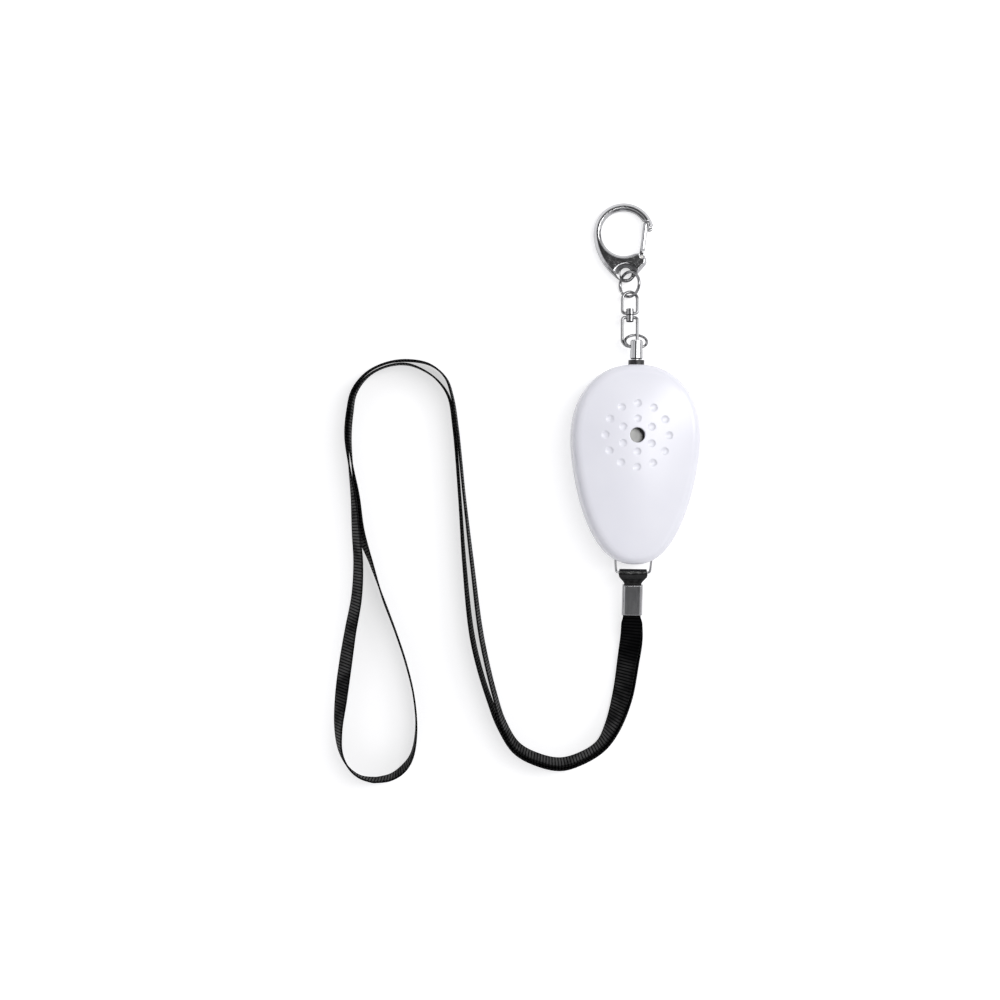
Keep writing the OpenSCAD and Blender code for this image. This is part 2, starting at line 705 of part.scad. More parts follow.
chip_size = [5, 4, 1.6];
chip_at = [-5, 10];
chip_lead = [0.9, 0.4, 0.5];
chip_pitch = 1.25;
chip_lift = 0.2;
module driver_chip() {
    color(black_plastic) translate([chip_at[0], board_y0 + chip_at[1], board_top]) {
        translate([-chip_size[0] / 2, -chip_size[1] / 2, chip_lift])
            cube(chip_size - [0, 0, chip_lift]);
        for (s = [-1, 1], i = [-1.5 : 1 : 1.5])
            translate([i * chip_pitch - chip_lead[1] / 2, s * (chip_size[1] + chip_lead[0] / 2) / 2, 0])
                translate([0, -chip_lead[0] / 2, 0]) cube([chip_lead[1], chip_lead[0], chip_lead[2]]);
    }
}
coil_at = [5, 11];
coil_d = 7;
coil_h = 5;
coil_flange = 0.8;
module boost_coil() {
    color([0.45, 0.25, 0.12]) translate([coil_at[0], board_y0 + coil_at[1], board_top]) rotate_extrude()
        polygon([
            [0, 0], [coil_d / 2, 0], [coil_d / 2, coil_flange], [coil_d / 2 - 0.6, coil_flange],
            [coil_d / 2 - 0.6, coil_h - coil_flange], [coil_d / 2, coil_h - coil_flange],
            [coil_d / 2, coil_h], [0, coil_h]
        ]);
}
transistor_at = [-1, 3.5];
transistor_d = 4.6;
transistor_h = 4;
transistor_flat = 1.4;
module output_transistor() {
    color(black_plastic) translate([transistor_at[0], board_y0 + transistor_at[1], board_top]) difference() {
        cylinder(d = transistor_d, h = transistor_h);
        translate([-transistor_d, transistor_flat, -tiny])
            cube([2 * transistor_d, transistor_d, transistor_h + 2 * tiny]);
    }
}

module cell_holder() {
    color(black_plastic) translate([0, cell_y, 0]) difference() {
        translate([-cradle_l / 2, -cradle_w / 2, wall]) cube([cradle_l, cradle_w, cell_z - wall]);
        translate([-contact_in, 0, cell_z]) rotate([0, 90, 0])
            cylinder(d = cell_d + 2 * cell_play, h = 2 * contact_in);
        for (s = [-1, 1]) translate([s * (contact_in + contact_t / 2), 0, cell_z])
            cube([contact_t, contact_w, contact_h] + 2 * slot_play * [1, 1, 1], center = true);
    }
}
module button_cells() {
    color(chrome) for (i = [0 : cell_count - 1])
        translate([-stack_l / 2 + i * cell_t + cell_gap, cell_y, cell_z]) rotate([0, 90, 0]) {
            cylinder(d = cell_d, h = cell_t * (1 - cap_share));
            translate([0, 0, cell_t * (1 - cap_share)])
                cylinder(d = cell_d - 2 * cap_step, h = cell_t * cap_share - 2 * cell_gap);
        }
}
module cell_contact(s) {
    color(nickel) translate([s * contact_in, cell_y, cell_z]) {
        translate([s * contact_t / 2, 0, 0]) cube([contact_t, contact_w, contact_h], center = true);
        rotate([0, -90 * s, 0]) cylinder(d1 = bump_d, d2 = bump_d * 0.6, h = contact_bump);
    }
}
module cell_contact_plus() { cell_contact(-1); }
module cell_contact_minus() { cell_contact(1); }

module socket_bush() {
    color(black_plastic) at_pin() difference() {
        union() {
            rod_y(barrel_d, barrel_end, nose_y);
            rod_y(collar_d, nose_y - collar_seat, collar_face);
        }
        rod_y(stem_d + 2 * stem_play, barrel_end - 1, collar_face + 1);
    }
}
module switch_housing() {
    color(black_plastic) difference() {
        translate([-switch_w / 2, switch_y0, board_top]) cube([switch_w, switch_l, switch_top - board_top]);
        at_pin() rod_y(stem_d + 0.4, switch_y0 + switch_wall, barrel_end + 1);
        translate([0, switch_y0 + switch_wall, board_top - tiny])
            cube([contact_x + leaf_t + 0.3, leaf_l + 1, pin_z + leaf_h / 2 + 0.2 - board_top]);
    }
}
// Bent strip with a solder leg down to the board
module switch_strip(x) {
    translate([x, switch_y0 + switch_wall + 0.3, 0]) {
        translate([0, 0, pin_z - leaf_h / 2]) cube([leaf_t, leaf_l, leaf_h]);
        translate([0, 0, board_top]) cube([leaf_t, 1.4, pin_z - board_top]);
    }
}
module switch_leaf() { color(brass) switch_strip(leaf_x); }
module switch_contact() { color(brass) switch_strip(contact_x); }

tip_cone = 1.2;
module pull_pin() {
    color(chrome) at_pin() difference() {
        translate([0, head_y - stem_l, 0]) rotate([-90, 0, 0]) rotate_extrude()
            polygon([
                [0, 0], [stem_d / 4, 0], [stem_d / 2, tip_cone], [stem_d / 2, stem_l],
                [head_d / 2 - 0.3, stem_l], [head_d / 2, stem_l + 0.3],
                [head_d / 2, stem_l + head_l - 0.4], [head_d / 2 - 0.4, stem_l + head_l], [0, stem_l + head_l]
            ]);
        translate([-head_d, cross_y, 0]) rotate([0, 90, 0]) cylinder(d = cross_hole_d, h = 2 * head_d);
    }
}
module pin_ring() {
    color(chrome) translate(pin_ring_c) rotate([-ring_tilt, 0, 0]) jump_ring(pin_ring_r, pin_ring_wire, -35);
}

// Stirrup: a bent wire loop with an eyelet for the rivet in the middle of its base;
// the base lies along X at the origin, the bow towards +Y
module stirrup(l, bore) {
    base_half = link_half - link_corner;
    straight = l - plate_t / 2 - link_corner - link_half - link_wire / 2;
    difference() {
        union() {
            rod_y(eyelet_d, 0, plate_t);
            translate([0, plate_t / 2, 0]) bent_wire([
                [base_half, 0], [link_corner, 90], [straight, 0], [link_half, 180],
                [straight, 0], [link_corner, 90], [base_half, 0]
            ], link_wire);
        }
        rod_y(bore, -1, plate_t + 1);
    }
}
module swivel_lower_link() {
    color(chrome) at_swivel() translate([0, lower_face, 0]) mirror([0, 1, 0])
        stirrup(lower_link_l, rivet_d + 2 * tiny);
}
module swivel_upper_link() {
    color(chrome) at_swivel() translate([0, upper_face, 0]) stirrup(upper_link_l, rivet_d + 2 * swivel_play);
}
module swivel_rivet() {
    low = lower_face - plate_t;
    high = upper_face + plate_t + swivel_play;
    color(chrome) at_swivel() {
        rod_y(rivet_head_d, low - rivet_head_t, low);
        rod_y(rivet_d, low, high);
        rod_y(rivet_head_d, high, high + rivet_head_t);
    }
}
module clip_ring() {
    color(chrome) translate(clip_ring_c) rotate([0, -clip_ring_tilt, 0])
        jump_ring(clip_ring_r, clip_ring_wire, 215);
}

// Hook, flank and base in one bevelled teardrop, bored for the loop and countersunk round the eye
module clip_hook() {
    color(chrome) at_clip() difference() {
        union() {
            difference() {
                teardrop();
                chamfered_bore(hook_c, hook_in_r, clip_bevel, clip_bevel);
                gate_gap();
                cheek_trim();
                translate([0, 0, -clip_t]) cylinder(r = eye_r, h = 2 * clip_t);
                chamfered_bore(sink_c, sink_r, sink_w, sink_depth);
            }
            translate(hook_c) rotate([0, 0, tip_angle])
                translate([hook_in_r + hook_band / 2, 0, -tip_t / 2]) cylinder(d = tip_d, h = tip_t);
            rotate_extrude() translate([eye_r, 0]) circle(d = eye_wire);
        }
        translate([gate_p[0], gate_p[1], -clip_t]) cylinder(d = pivot_d + 0.02, h = 2 * clip_t);
        translate([gate_p[0] - 2.2, gate_p[1] - 1.8, -slot_t / 2]) cube([6, 6, slot_t]);
        translate(gate_p) rotate([0, 0, -gate_lean]) translate([-6, gate_l - 3, -clip_t])
            cube([6 + gate_w / 2 + gate_play, 3 + gate_play, 2 * clip_t]);
    }
}
module teardrop() {
    hull() {
        linear_extrude(clip_t - 2 * clip_bevel, center = true) polygon(clip_outline);
        linear_extrude(clip_t, center = true) offset(delta = -clip_bevel) polygon(clip_outline);
    }
}
// Through hole with a chamfer of a given width and depth at both faces
module chamfered_bore(c, r, width, depth) {
    translate(c) rotate_extrude() polygon([
        [0, -clip_t], [r + width * (clip_t / 2 / depth + 1), -clip_t], [r, depth - clip_t / 2],
        [r, clip_t / 2 - depth], [r + width * (clip_t / 2 / depth + 1), clip_t], [0, clip_t]
    ]);
}
// Opening between the hook's tip and the cheek that the gate closes
module gate_gap() {
    far = 2 * hook_out_r;
    cheek_top = cheek_c[1] + cheek_r;
    translate([0, 0, -clip_t]) linear_extrude(2 * clip_t) polygon([
        hook_c, hook_c + far * [cos(tip_angle), sin(tip_angle)],
        [far, cheek_top], [cheek_c[0] - cheek_r, cheek_top]
    ]);
}
// What lies outside the cheek's bevelled round corner
module cheek_trim() {
    r = cheek_r;
    b = clip_bevel;
    h = clip_t / 2;
    translate(cheek_c) rotate([0, 0, -10]) rotate_extrude(angle = 100) polygon([
        [r - b, -clip_t], [2 * r, -clip_t], [2 * r, clip_t], [r - b, clip_t],
        [r - b, h], [r, h - b], [r, b - h], [r - b, -h]
    ]);
}
module clip_gate() {
    color(chrome) at_gate() difference() {
        union() {
            translate([0, 0, blade_play - slot_t / 2]) cylinder(r = knuckle_r, h = gate_blade_t);
            translate([-gate_w / 2, 0, blade_play - slot_t / 2]) cube([gate_w, gate_foot + 1, gate_blade_t]);
            translate([0, gate_foot, 0]) rotate([-90, 0, 0]) gate_bar(gate_l - gate_foot, gate_w / 2);
        }
        translate([0, 0, -clip_t]) cylinder(d = pivot_d + 0.12, h = 2 * clip_t);
    }
}
// Round bar with a tapered foot and a domed end
module gate_bar(l, r) {
    rotate_extrude() polygon(concat(
        [[0, 0], [r / 2, 0], [r, r]],
        arc([0, l - r], r, 0, 90, 15)
    ));
}
module gate_pivot() {
    color(nickel) at_gate() translate([0, 0, -clip_t / 2 + 0.1]) cylinder(d = pivot_d, h = clip_t - 0.2);
}
// Torsion spring beside the gate's knuckle, on the pivot
module gate_spring() {
    color(nickel) at_gate() translate([0, 0, slot_t / 2 - 0.45]) difference() {
        cylinder(d = pivot_d + 1, h = 0.4);
        translate([0, 0, -tiny]) cylinder(d = pivot_d + 0.2, h = 1);
    }
}

module lanyard_bail() {
    turn = 90 - bail_lean;
    color(chrome) at_bail() translate([bail_half + bail_hook, 0, 0]) rotate([0, 0, 180])
        bent_wire([
            [bail_hook, 0], [bail_bend, turn], [bail_arm, 0], [bail_bend, -turn], [bar_l, 0],
            [bail_bend, -turn], [bail_arm, 0], [bail_bend, turn], [bail_hook, 0]
        ], bail_wire);
}
// Ribbon wrapped round the bail's bar and gathered into the crimp
module strap_fold() {
    color(ribbon_black) at_bar() intersection() {
        rotate([90, 0, 90]) linear_extrude(strap_w, center = true) difference() {
            union() {
                circle(r = fold_out_r);
                polygon([
                    [0, fold_out_r], [-fold_l, stack_half], [-fold_l - fold_grip, stack_half],
                    [-fold_l - fold_grip, -stack_half], [-fold_l, -stack_half], [0, -fold_out_r]
                ]);
            }
            circle(r = fold_in_r);
        }
        linear_extrude(4 * fold_out_r, center = true)
            polygon(concat(fold_side, [for (i = [1 : len(fold_side)]) fold_far(len(fold_side) - i)]));
    }
}
fold_tail_w = crimp_in_w - 2 * crimp_play;
fold_side = [
    [strap_w / 2, 2 * fold_out_r], [strap_w / 2, -fold_wide],
    [fold_tail_w / 2, layer_gap - fold_l], [fold_tail_w / 2, -2 * fold_l]
];
function fold_far(i) = [-fold_side[i][0], fold_side[i][1]];
// Folded sheet sleeve with round sides
module strap_crimp() {
    color(gunmetal) at_bar() translate([0, -fold_l, 0]) rotate([90, 0, 0])
        linear_extrude(crimp_l) difference() {
            flat_oval(crimp_w, crimp_t, crimp_roll);
            square([crimp_in_w, crimp_in_t], center = true);
        }
}
module flat_oval(w, t, r) {
    square([w - 2 * r, t], center = true);
    square([w, t - 2 * r], center = true);
    for (x = [-1, 1], y = [-1, 1]) translate([x * (w / 2 - r), y * (t / 2 - r)]) circle(r = r);
}
module lanyard_outer_strand() {
    color(ribbon_black) ribbon(concat([strand_start(1)], strand_route(1, outer_route)));
}
module lanyard_inner_strand() {
    color(ribbon_black) ribbon(concat([strand_start(-1)], strand_route(-1, inner_route)));
}

front_shell();
rear_shell();
case_screws();
sounder_disc();
sounder_ceramic();
circuit_board();
board_screws();
driver_chip();
boost_coil();
output_transistor();
cell_holder();
button_cells();
cell_contact_plus();
cell_contact_minus();
socket_bush();
switch_housing();
switch_leaf();
switch_contact();
pull_pin();
pin_ring();
swivel_lower_link();
swivel_rivet();
swivel_upper_link();
clip_ring();
clip_hook();
clip_gate();
gate_pivot();
gate_spring();
lanyard_bail();
strap_fold();
strap_crimp();
lanyard_outer_strand();
lanyard_inner_strand();
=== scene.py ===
import math

import bpy
import numpy as np
from mathutils import Matrix, Vector


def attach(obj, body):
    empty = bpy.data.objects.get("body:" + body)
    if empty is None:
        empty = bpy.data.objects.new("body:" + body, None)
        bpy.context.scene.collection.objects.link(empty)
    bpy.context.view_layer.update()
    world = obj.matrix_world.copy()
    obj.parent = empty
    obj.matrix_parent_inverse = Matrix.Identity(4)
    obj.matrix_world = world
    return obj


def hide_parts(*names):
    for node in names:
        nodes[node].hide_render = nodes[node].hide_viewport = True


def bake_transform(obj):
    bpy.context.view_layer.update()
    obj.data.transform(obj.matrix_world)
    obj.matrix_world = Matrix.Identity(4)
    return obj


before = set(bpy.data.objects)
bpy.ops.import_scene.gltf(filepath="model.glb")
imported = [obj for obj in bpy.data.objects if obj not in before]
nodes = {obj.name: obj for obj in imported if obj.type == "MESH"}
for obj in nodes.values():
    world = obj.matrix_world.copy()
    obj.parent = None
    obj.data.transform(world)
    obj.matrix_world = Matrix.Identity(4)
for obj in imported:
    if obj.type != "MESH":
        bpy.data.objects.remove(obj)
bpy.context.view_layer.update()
scene = bpy.context.scene
MM = 0.001


def rad(a):
    return math.radians(a)


def rise(x, start, length):
    """0 before start, 1 past start + length, and smooth between."""
    t = np.clip((x - start) / length, 0.0, 1.0)
    return t * t * (3 - 2 * t)


# Camera: straight down on the middle of the view, turned as the object lies in it, in millimetres
CAMERA_AT = (-47.07, -13.09, 575.0)
CAMERA_TURN = 0.8
VIEW_WIDTH = 350.0
VIEW_LEVEL = 10.0
SENSOR = 36.0
camera_data = bpy.data.cameras.new("camera")
camera_data.sensor_width = SENSOR
camera_data.lens = SENSOR * (CAMERA_AT[2] - VIEW_LEVEL) / VIEW_WIDTH
camera_data.clip_start = 0.01
camera_data.clip_end = 20.0
camera = bpy.data.objects.new("camera", camera_data)
scene.collection.objects.link(camera)
camera.location = [x * MM for x in CAMERA_AT]
camera.rotation_euler = (0.0, 0.0, rad(CAMERA_TURN))
scene.camera = camera


# Materials: the range that most of a noise's values lie in, and bump depths in metres
NOISE_RANGE = (0.3, 0.7)
GRAIN = 0.0001
CREASE = 0.0006

# The ribbon's ribs in millimetres, its UV scale and its two blacks: the lighter on the ribs, and the darker
# as painted shade in its grooves and creases
RIB_PITCH = 1.1
UV_PER_MM = 0.01
SHADED_GROOVE_BLACK = (0.001, 0.001, 0.0012)
RIB_BLACK = (0.003, 0.003, 0.0033)

# Painted shade round the clip's eye, darkening its plating colour there: its centre and the start and end of
# the change, in metres, and the share of the colour that is left
CLIP_EYE = (-0.00356, 0.06787, 0.00249)
EYE_SHADE_RANGE = (0.0036, 0.0045)
EYE_SHADE_LEFT = 0.35


class Nodes:
    """A material's node tree. The helpers take and return output sockets."""

    def __init__(self, name):
        self.mat = bpy.data.materials.new(name)
        self.mat.use_nodes = True
        self.tree = self.mat.node_tree
        self.shader = self.tree.nodes["Principled BSDF"]

    def add(self, kind, **values):
        """A new node, with its settings or inputs of these names set."""
        node = self.tree.nodes.new(kind)
        for key, value in values.items():
            if hasattr(node, key):
                setattr(node, key, value)
            else:
                node.inputs[key.replace("_", " ")].default_value = value
        return node

    def link(self, source, node, into):
        self.tree.links.new(source, node.inputs[into])

    def set(self, **values):
        for key, value in values.items():
            self.shader.inputs[key.replace("_", " ")].default_value = value

    def place(self, kind):
        return self.add("ShaderNodeTexCoord").outputs[kind]

    def noise(self, scale, detail, stretch=(1, 1, 1), kind="Object"):
        mapping = self.add("ShaderNodeMapping", Scale=stretch)
        self.link(self.place(kind), mapping, "Vector")
        noise = self.add("ShaderNodeTexNoise", Scale=scale, Detail=detail)
        self.link(mapping.outputs["Vector"], noise, "Vector")
        return noise.outputs["Fac"]

    def calc(self, operation, *values):
        """A math node on sockets and plain numbers."""
        node = self.add("ShaderNodeMath", operation=operation)
        for i, value in enumerate(values):
            if isinstance(value, bpy.types.NodeSocket):
                self.link(value, node, i)
            else:
                node.inputs[i].default_value = value
        return node.outputs["Value"]

    def span(self, source, old, new, kind="SMOOTHSTEP"):
        """Maps the range old of a socket's values to the range new."""
        node = self.add("ShaderNodeMapRange", interpolation_type=kind, From_Min=old[0], From_Max=old[1],
                        To_Min=new[0], To_Max=new[1])
        self.link(source, node, "Value")
        return node.outputs["Result"]

    def colour(self, source, low, high, old=NOISE_RANGE):
        ramp = self.add("ShaderNodeValToRGB")
        for element, position, colour in zip(ramp.color_ramp.elements, old, (low, high)):
            element.position = position
            element.color = (*colour, 1)
        self.link(source, ramp, "Fac")
        self.link(ramp.outputs["Color"], self.shader, "Base Color")
        return ramp.outputs["Color"]

    def roughness(self, source, low, high):
        self.link(self.span(source, NOISE_RANGE, (low, high), "LINEAR"), self.shader, "Roughness")

    def bump(self, source, strength, depth=GRAIN):
        bump = self.add("ShaderNodeBump", Strength=strength, Distance=depth)
        self.link(source, bump, "Height")
        self.link(bump.outputs["Normal"], self.shader, "Normal")
        return bump


def white_gloss():
    m = Nodes("white_gloss_plastic")
    m.colour(m.noise(60.0, 2.0), (0.815, 0.815, 0.88), (0.845, 0.845, 0.905))
    fine = m.noise(1400.0, 2.0)
    m.roughness(fine, 0.20, 0.26)
    m.bump(fine, 0.02)
    m.set(IOR=1.5)
    return m.mat


def paint_shade(m, tint, middle):
    """Paints shade round a point by leaving only a share of the tint there."""
    away = m.add("ShaderNodeVectorMath", operation="DISTANCE")
    m.link(m.place("Object"), away, 0)
    away.inputs[1].default_value = middle
    dull = m.add("ShaderNodeVectorMath", operation="SCALE")
    m.link(tint, dull, "Vector")
    m.link(m.span(away.outputs["Value"], EYE_SHADE_RANGE, (EYE_SHADE_LEFT, 1.0)), dull, "Scale")
    m.link(dull.outputs["Vector"], m.shader, "Base Color")


def metal(name, low, high, rough, scale=2500.0, stretch=(1, 1, 1), scratch=0.01, edge=0.6, worn=0.0,
          painted_shade_at=None):
    """Metal with fine scratches; worn is its edges' soft radius, and the last argument a point with painted
    shade round it.
    """
    m = Nodes(name)
    tint = m.colour(m.noise(120.0, 2.0), low, high)
    if painted_shade_at:
        paint_shade(m, tint, painted_shade_at)
    fine = m.noise(scale, 4.0, stretch)
    m.roughness(fine, *rough)
    bump = m.bump(fine, scratch)
    if worn:
        soft = m.add("ShaderNodeBevel", samples=8, Radius=worn)
        m.link(soft.outputs["Normal"], bump, "Normal")
    m.set(Metallic=1.0, Specular_Tint=(edge, edge, edge, 1.0))
    return m.mat


def plastic(name, low, high, rough, scale=900.0, bump=0.05):
    m = Nodes(name)
    fine = m.noise(scale, 3.0)
    m.colour(fine, low, high)
    m.roughness(fine, *rough)
    m.bump(fine, bump)
    return m.mat


def gathered_cloth():
    """The same ribbon where it is pulled into folds: satin, with small creases that are painted darker as
    shade.
    """
    m = Nodes("gathered_ribbon")
    crease = m.noise(420.0, 3.0, (1.0, 1.6, 1.0))
    # Low crease noise, where the bump sinks in, is painted darker: painted shade in the creases
    m.colour(crease, SHADED_GROOVE_BLACK, RIB_BLACK)
    m.roughness(crease, 0.16, 0.26)
    m.bump(crease, 0.25, CREASE)
    m.set(Specular_IOR_Level=0.4)
    return m.mat


def ribbon_cloth():
    """Black ribbon, each groove painted darker than the rib beside it as shade, and each rib shinier than the
    groove.
    """
    m = Nodes("black_grosgrain")
    split = m.add("ShaderNodeSeparateXYZ")
    m.link(m.place("UV"), split, 0)
    across, along = split.outputs["X"], split.outputs["Y"]
    phase = m.calc("MULTIPLY", along, math.pi / (RIB_PITCH * UV_PER_MM))
    ridge = m.calc("ABSOLUTE", m.calc("SINE", phase))
    # The grooves are painted darker than the ribs: painted shade
    m.colour(ridge, SHADED_GROOVE_BLACK, RIB_BLACK, (0.35, 1.0))
    # The ribs' shine comes in patches, and is less at the ribbon's edges and near the crimp
    stretch = m.noise(1.0, 2.0, (0.6, 14.0, 1.0), "UV")
    edge = m.calc("PINGPONG", m.calc("FRACT", across), 0.5)
    patch = m.span(stretch, (0.35, 0.65), (0.15, 1.0))
    middle = m.span(edge, (0.04, 0.2), (0.6, 1.0))
    loose = m.span(along, (0.08, 0.3), (0.2, 1.0))
    shine = m.span(ridge, (0.3, 0.95), (0.0, 0.42))
    for share in (patch, middle, loose):
        shine = m.calc("MULTIPLY", shine, share)
    m.link(shine, m.shader, "Specular IOR Level")
    thread = m.noise(1.0, 2.0, (6.0, 900.0, 1.0), "UV")
    m.roughness(thread, 0.58, 0.74)
    m.bump(thread, 0.2)
    return m.mat


WHITE = white_gloss()
CHROME = metal("bright_chrome", (0.53, 0.53, 0.54), (0.58, 0.58, 0.59), (0.06, 0.10), edge=0.1)
LINK = metal("link_nickel", (0.32, 0.32, 0.325), (0.38, 0.38, 0.385), (0.07, 0.12), edge=0.1)
RING = metal("ring_nickel", (0.27, 0.27, 0.275), (0.33, 0.33, 0.335), (0.07, 0.12), edge=0.1)
# The cast chrome gets painted shade round the clip's eye
CAST = metal("cast_chrome", (0.54, 0.54, 0.55), (0.60, 0.60, 0.61), (0.07, 0.12), 700.0, scratch=0.08,
             edge=0.3, worn=0.0005, painted_shade_at=CLIP_EYE)
NICKEL = metal("dull_nickel", (0.50, 0.49, 0.47), (0.60, 0.59, 0.57), (0.25, 0.38))
GUNMETAL = metal("dark_plated_sheet", (0.42, 0.42, 0.43), (0.48, 0.48, 0.49), (0.17, 0.25), 1500.0,
                 (1, 0.1, 1), worn=0.0004)
SOUNDER = metal("sounder_plate", (0.26, 0.26, 0.26), (0.32, 0.32, 0.31), (0.3, 0.4))
BRASS = metal("spring_brass", (0.70, 0.55, 0.25), (0.80, 0.64, 0.33), (0.2, 0.32))
BLACK = plastic("moulded_black", (0.008, 0.008, 0.009), (0.016, 0.016, 0.017), (0.32, 0.45))
RIBBON = ribbon_cloth()
GATHERED = gathered_cloth()
CERAMIC = plastic("silvered_ceramic", (0.62, 0.62, 0.60), (0.72, 0.71, 0.69), (0.35, 0.5))
BOARD = plastic("board_lacquer", (0.01, 0.10, 0.035), (0.02, 0.15, 0.055), (0.25, 0.4), 400.0)
COIL = plastic("coil_lacquer", (0.24, 0.08, 0.02), (0.36, 0.13, 0.04), (0.25, 0.4), 700.0, 0.2)
DARK_CERAMIC = plastic("component_black", (0.012, 0.012, 0.013), (0.024, 0.024, 0.025), (0.45, 0.6))

NODE_MATERIALS = {
    "case_screws": NICKEL, "sounder_disc": SOUNDER, "sounder_ceramic": CERAMIC, "circuit_board": BOARD,
    "board_screws": NICKEL, "driver_chip": DARK_CERAMIC, "boost_coil": COIL,
    "output_transistor": DARK_CERAMIC,
    "cell_holder": BLACK, "button_cells": NICKEL, "cell_contact_plus": NICKEL, "cell_contact_minus": NICKEL,
    "socket_bush": BLACK, "switch_housing": BLACK, "switch_leaf": BRASS, "switch_contact": BRASS,
    "pull_pin": CHROME, "pin_ring": RING, "swivel_lower_link": LINK, "swivel_rivet": LINK,
    "swivel_upper_link": LINK, "clip_ring": RING, "clip_hook": CAST, "clip_gate": CAST,
    "gate_pivot": NICKEL, "gate_spring": NICKEL, "lanyard_bail": CHROME, "strap_crimp": GUNMETAL,
    "strap_fold": RIBBON, "front_shell": WHITE, "rear_shell": WHITE,
    "lanyard_outer_strand": RIBBON, "lanyard_inner_strand": RIBBON,
}
for node_name, material in NODE_MATERIALS.items():
    mesh = nodes[node_name].data
    mesh.materials.clear()
    mesh.materials.append(material)


# Meshes: edges sharper than these angles stay sharp
SHELL_SHARP = 35.0
RIBBON_SHARP = 60.0
NODE_SHARP = 32.0


def mesh_object(name, points, faces, material, sharp=SHELL_SHARP, uvs=None):
    mesh = bpy.data.meshes.new(name)
    mesh.from_pydata([tuple(p) for p in points], [], faces)
    mesh.validate()
    if uvs is not None:
        layer = mesh.uv_layers.new(name="UVMap")
        loops = np.zeros(len(mesh.loops), np.int32)
        mesh.loops.foreach_get("vertex_index", loops)
        layer.data.foreach_set("uv", np.asarray(uvs, np.float32)[loops].ravel())
    mesh.materials.append(material)
    mesh.polygons.foreach_set("use_smooth", [True] * len(mesh.polygons))
    mesh.set_sharp_from_angle(angle=rad(sharp))
    obj = bpy.data.objects.new(name, mesh)
    scene.collection.objects.link(obj)
    return obj


def ring_faces(rings, n, closed_ends=False, wrap=False):
    """Faces between rings of n points each; wrap joins the last ring to the first."""
    faces = []
    last = rings if wrap else rings - 1
    for k in range(last):
        a0, b0 = k * n, ((k + 1) % rings) * n
        for i in range(n):
            j = (i + 1) % n
            faces.append((a0 + i, a0 + j, b0 + j, b0 + i))
    if closed_ends:
        faces.append(tuple(range(n - 1, -1, -1)))
        faces.append(tuple((rings - 1) * n + i for i in range(n)))
    return faces


# Lanyard ribbon, in millimetres: the bail's bar that it hangs on, the fold round the bar and the crimp
STRAP_W = 10.0
STRAP_T = 0.7
STRAP_SLOPE = 10.0
STRAP_DIR = np.array([0.0, -math.cos(rad(STRAP_SLOPE)), -math.sin(rad(STRAP_SLOPE))])
STRAP_UP = np.array([0.0, STRAP_DIR[2], -STRAP_DIR[1]])
BAIL_ROOT = np.array([0.0, -28.494, 9.5])
BAR_Y = -37.9
BAR = BAIL_ROOT + STRAP_DIR * (BAR_Y - BAIL_ROOT[1]) / STRAP_DIR[1]
FOLD_L = 4.5
CRIMP_L = 10.7
CRIMP_IN_W = 6.2
CRIMP_GAP = 0.1
CRIMP_END = BAR + STRAP_DIR * (FOLD_L + CRIMP_L)
STRAND_FROM = -2.0
STRAND_OUT = 0.5

# The part's route points: place, tilt of the width, and on the shared stretch the strands' added spread
PAIR_GAP = 1.1
SHARED_ROUTE = [
    [0, -61, 4.9, 30, 0.2], [-1, -69, 5.1, 52, 0.2], [-3, -82, 5.3, 60, 0.2], [-6.5, -93, 5.4, 73, 0.3],
    [-10.5, -99.5, 5.4, 83, 0.3], [-17.5, -104, 5.4, 84, 0.3], [-24.5, -106, 5.4, 82, 0.3],
    [-32.5, -104.5, 5.4, 82, 0.3], [-40, -100.5, 5.4, 82, 0.3], [-45.5, -92, 5.4, 82, 0.4],
    [-49, -82.5, 5.4, 84, 1.2], [-52.5, -70.5, 5.4, 84, 1.9], [-55, -59, 5.4, 84, 2.1],
    [-58, -35.5, 5.4, 86, 1.6], [-60.5, -12, 5.4, 88, 0.5], [-63, 11.5, 5.4, 88, 0],
    [-65, 23, 5.4, 88, 0.1], [-68, 29, 5.4, 88, 1.6], [-73, 33, 5.4, 88, 1.7], [-80.5, 35, 5.4, 88, 0.2],
    [-88, 34, 5.4, 86, 0], [-94.5, 30.5, 5.4, 86, 0], [-99, 24.5, 5.4, 88, 0], [-100.5, 17, 5.4, 90, 0],
    [-101, 8.5, 5.4, 90, 0], [-100, -1, 5.4, 85, 0], [-98.2, -12.5, 5.4, 77, 0.2], [-97, -24.5, 5.4, 71, 0.5],
]
OUTER_ROUTE = [
    [-96.8, -36, 5.3, 68], [-97.2, -48, 5.2, 66], [-99.2, -60, 5.1, 64], [-100.8, -71.5, 5, 61],
    [-102.2, -83.5, 5, 62], [-103, -95, 5.2, 71], [-102, -103, 5.4, 78], [-99, -108.5, 5.4, 81],
    [-95, -111.5, 5.4, 84], [-90, -112.5, 5.4, 90],
]
INNER_ROUTE = [
    [-92.2, -36, 5.4, 80], [-88, -48, 5.4, 86], [-83.5, -59.5, 5.4, 86], [-79.5, -71, 5.4, 86],
    [-76.5, -83, 5.4, 86], [-75.5, -95, 5.4, 86], [-77, -104, 5.4, 84], [-80, -108.5, 5.4, 82],
    [-84.5, -111.5, 5.4, 86], [-89.8, -112.5, 5.4, 90],
]
ROUTE_SAMPLE = 0.2
LEAST_GAP = 1e-6


def ribbon_axes(points, tilts):
    """Width and normal directions along a route."""
    tangents = np.gradient(points, axis=0)
    tangents /= np.linalg.norm(tangents, axis=1)[:, None]
    side = np.cross([0.0, 0.0, 1.0], tangents)
    side /= np.linalg.norm(side, axis=1)[:, None]
    up = np.cross(tangents, side)
    c, s = np.cos(np.radians(tilts))[:, None], np.sin(np.radians(tilts))[:, None]
    return c * side + s * up, c * up - s * side


